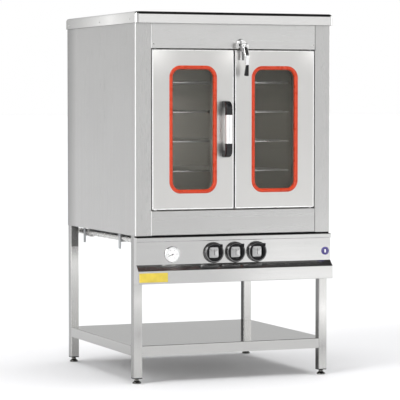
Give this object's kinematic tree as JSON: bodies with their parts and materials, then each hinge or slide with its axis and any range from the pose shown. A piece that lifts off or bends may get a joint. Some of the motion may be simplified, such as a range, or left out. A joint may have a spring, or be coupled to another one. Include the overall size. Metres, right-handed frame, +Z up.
{
  "type": "gas pastry oven",
  "caption": "Free-standing stainless gas pastry oven with paired glazed doors, wire racks, a turn latch, a control panel and an open stand with an undershelf.",
  "frame": {"origin": "on the floor under the middle of the oven's bounding box", "axes": "+X to the right seen from the front, +Y to the back, +Z up"},
  "size_m": [0.961, 1.012, 1.669],
  "materials": {
    "satin_steel": "satin brushed stainless steel",
    "stand_steel": "satin stainless square tube",
    "door_steel": "bright satin brushed stainless steel",
    "inner_steel": "dull stainless steel",
    "zinc_steel": "zinc plated",
    "burner_steel": "heat-tinted steel",
    "brass_fittings": "plain brass",
    "rack_chrome": "plated wire",
    "bright_chrome": "polished chrome",
    "handle_metal": "satin anodised",
    "black_plastic": "semi-matt black",
    "red_silicone": "smooth orange-red silicone",
    "rope_seal": "woven glass-fibre rope",
    "mineral_wool": "felted mineral wool",
    "window_glass": "clear toughened glass",
    "needle_paint": "black paint",
    "button_violet": "glossy violet",
    "button_ring": "glossy grey-violet"
  },
  "bodies": {
    "cabinet": {"side_panel_left": "satin_steel", "side_panel_right": "satin_steel", "back_panel": "satin_steel", "top_cover": "satin_steel", "stile_left": "satin_steel", "stile_right": "satin_steel", "header_rail": "satin_steel", "sill_rail": "satin_steel", "control_panel": "satin_steel", "undershelf": "satin_steel", "flue_duct": "satin_steel", "stand_frame": "stand_steel", "cavity_liner": "inner_steel", "hearth_plate": "inner_steel", "rack_guides": "inner_steel", "base_pan": "inner_steel", "gas_pipe": "zinc_steel", "pipe_hangers": "zinc_steel", "hinge_pins": "zinc_steel", "screws": "zinc_steel", "burners": "burner_steel", "gas_taps": "brass_fittings", "injector_pipes": "brass_fittings", "latch_keeper": "bright_chrome", "thermometer_case": "bright_chrome", "foot_plugs": "black_plastic", "door_seal": "rope_seal", "insulation": "mineral_wool", "thermometer_lens": "window_glass", "igniter_body": "button_ring"},
    "left_door": {"left_door_skin": "door_steel", "left_door_liner": "inner_steel", "left_door_insulation": "mineral_wool", "left_window_gasket": "red_silicone", "left_window_glass": "window_glass", "left_hinge_bushes": "brass_fittings", "handle_brackets": "black_plastic", "handle_grip": "handle_metal"},
    "right_door": {"right_door_skin": "door_steel", "right_door_liner": "inner_steel", "right_door_insulation": "mineral_wool", "right_window_gasket": "red_silicone", "right_window_glass": "window_glass", "right_hinge_bushes": "brass_fittings", "latch_bracket": "zinc_steel"},
    "latch": {"latch_lever": "bright_chrome", "latch_grip": "black_plastic"},
    "left_knob": {"knob_left": "black_plastic"},
    "middle_knob": {"knob_middle": "black_plastic"},
    "right_knob": {"knob_right": "black_plastic"},
    "needle": {"thermometer_needle": "needle_paint"},
    "igniter": {"igniter_button": "button_violet"},
    "rack_1": {"wire_rack_1": "rack_chrome"},
    "rack_2": {"wire_rack_2": "rack_chrome"},
    "rack_3": {"wire_rack_3": "rack_chrome"},
    "rack_4": {"wire_rack_4": "rack_chrome"},
    "levelling_front_left": {"foot_front_left": "black_plastic"},
    "levelling_front_right": {"foot_front_right": "black_plastic"},
    "levelling_back_left": {"foot_back_left": "black_plastic"},
    "levelling_back_right": {"foot_back_right": "black_plastic"}
  },
  "joints": [
    {"name": "left_door_hinge", "type": "hinge", "parent": "cabinet", "child": "left_door", "pos_m": [-0.3745, -0.429, 1.1215], "axis": [0, 0, -1], "range_deg": [0, 110]},
    {"name": "right_door_hinge", "type": "hinge", "parent": "cabinet", "child": "right_door", "pos_m": [0.3745, -0.429, 1.1215], "axis": [0, 0, 1], "range_deg": [0, 110]},
    {"name": "latch_turn", "type": "hinge", "parent": "right_door", "child": "latch", "pos_m": [0.032, -0.46, 1.492], "axis": [0, -1, 0], "range_deg": [0, 90]},
    {"name": "left_knob_turn", "type": "hinge", "parent": "cabinet", "child": "left_knob", "pos_m": [-0.104, -0.446, 0.575], "axis": [0, -1, 0], "range_deg": [0, 240]},
    {"name": "middle_knob_turn", "type": "hinge", "parent": "cabinet", "child": "middle_knob", "pos_m": [0, -0.446, 0.575], "axis": [0, -1, 0], "range_deg": [0, 240]},
    {"name": "right_knob_turn", "type": "hinge", "parent": "cabinet", "child": "right_knob", "pos_m": [0.104, -0.446, 0.575], "axis": [0, -1, 0], "range_deg": [0, 240]},
    {"name": "needle_turn", "type": "hinge", "parent": "cabinet", "child": "needle", "pos_m": [-0.3, -0.446, 0.571], "axis": [0, 1, 0], "range_deg": [-24, 246], "stiffness_Nm_per_rad": 0.002},
    {"name": "igniter_press", "type": "slide", "parent": "cabinet", "child": "igniter", "axis": [0, 1, 0], "range_m": [0, 0.004], "stiffness_N_per_m": 400},
    {"name": "rack_1_slide", "type": "slide", "parent": "cabinet", "child": "rack_1", "axis": [0, -1, 0], "range_m": [0, 0.08]},
    {"name": "rack_2_slide", "type": "slide", "parent": "cabinet", "child": "rack_2", "axis": [0, -1, 0], "range_m": [0, 0.08]},
    {"name": "rack_3_slide", "type": "slide", "parent": "cabinet", "child": "rack_3", "axis": [0, -1, 0], "range_m": [0, 0.08]},
    {"name": "rack_4_slide", "type": "slide", "parent": "cabinet", "child": "rack_4", "axis": [0, -1, 0], "range_m": [0, 0.08]},
    {"name": "levelling_front_left_turn", "type": "hinge", "parent": "cabinet", "child": "levelling_front_left", "pos_m": [-0.4488, -0.394, 0.008], "axis": [0, 0, 1], "continuous": true},
    {"name": "levelling_front_right_turn", "type": "hinge", "parent": "cabinet", "child": "levelling_front_right", "pos_m": [0.4488, -0.394, 0.008], "axis": [0, 0, 1], "continuous": true},
    {"name": "levelling_back_left_turn", "type": "hinge", "parent": "cabinet", "child": "levelling_back_left", "pos_m": [-0.4488, 0.4768, 0.008], "axis": [0, 0, 1], "continuous": true},
    {"name": "levelling_back_right_turn", "type": "hinge", "parent": "cabinet", "child": "levelling_back_right", "pos_m": [0.4488, 0.4768, 0.008], "axis": [0, 0, 1], "continuous": true}
  ]
}
